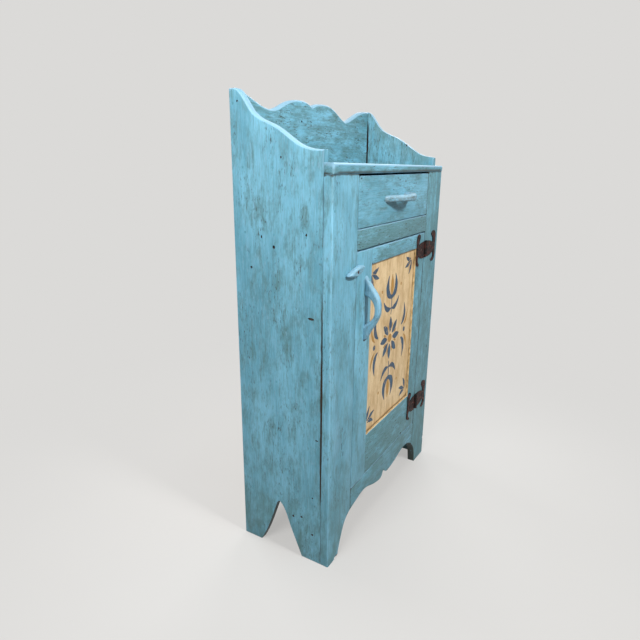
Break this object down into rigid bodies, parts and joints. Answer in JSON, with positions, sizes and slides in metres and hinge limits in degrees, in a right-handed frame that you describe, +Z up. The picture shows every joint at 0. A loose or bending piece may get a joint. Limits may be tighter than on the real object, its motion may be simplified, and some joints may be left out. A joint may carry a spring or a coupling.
{
  "type": "milk cupboard",
  "caption": "Narrow painted board cupboard with a shaped gallery top, a drawer over a framed panel door, iron strap hinges, carved bow handles and a wooden turn button.",
  "frame": {"origin": "on the floor at the middle of the cupboard's bounding box, handles counted", "axes": "+Z up, +X to the right seen from the front, the front faces -Y"},
  "size_m": [0.7, 0.322, 1.2001],
  "materials": {
    "blue_paint": "worn chalky paint",
    "cream_paint": "aged flat paint",
    "bare_pine": "bare, darkened",
    "hinge_iron": "rusted black",
    "nail_steel": "dull, rusted"
  },
  "bodies": {
    "case": {"left_side": "blue_paint", "right_side": "blue_paint", "gallery_back": "blue_paint", "top_board": "blue_paint", "back_plank_1": "bare_pine", "back_plank_2": "bare_pine", "back_plank_3": "bare_pine", "back_plank_4": "bare_pine", "left_stile": "blue_paint", "right_stile": "blue_paint", "drawer_rail": "blue_paint", "apron": "blue_paint", "bottom_shelf": "bare_pine", "middle_shelf": "bare_pine", "drawer_runner_left": "bare_pine", "drawer_runner_right": "bare_pine", "drawer_guide_left": "bare_pine", "drawer_guide_right": "bare_pine", "drawer_stops": "bare_pine", "door_stop": "bare_pine", "left_side_nails": "nail_steel", "right_side_nails": "nail_steel", "stile_nails": "nail_steel", "back_nails": "nail_steel", "upper_frame_leaf": "hinge_iron", "lower_frame_leaf": "hinge_iron", "frame_leaf_screws": "hinge_iron", "upper_hinge_pin": "hinge_iron", "lower_hinge_pin": "hinge_iron", "button_screw": "nail_steel", "button_washer": "nail_steel"},
    "door": {"door_left_stile": "blue_paint", "door_right_stile": "blue_paint", "door_top_rail": "blue_paint", "door_bottom_rail": "blue_paint", "door_panel": "cream_paint", "door_handle": "blue_paint", "door_handle_nails": "nail_steel", "upper_door_leaf": "hinge_iron", "lower_door_leaf": "hinge_iron", "door_leaf_screws": "hinge_iron"},
    "drawer": {"drawer_front": "blue_paint", "drawer_left_side": "bare_pine", "drawer_right_side": "bare_pine", "drawer_back": "bare_pine", "drawer_bottom": "bare_pine", "drawer_pull": "blue_paint", "drawer_pull_nails": "nail_steel"},
    "turn_button": {"turn_button": "blue_paint"}
  },
  "joints": [
    {"name": "door_swing", "type": "hinge", "parent": "case", "child": "door", "pos_m": [0.231, -0.1226, 0.52], "axis": [0, 0, 1], "range_deg": [0, 165]},
    {"name": "drawer_slide", "type": "slide", "parent": "case", "child": "drawer", "axis": [0, -1, 0], "range_m": [0, 0.19]},
    {"name": "button_turn", "type": "hinge", "parent": "case", "child": "turn_button", "pos_m": [-0.245, -0.1235, 0.7885], "axis": [0, -1, 0], "continuous": true}
  ]
}
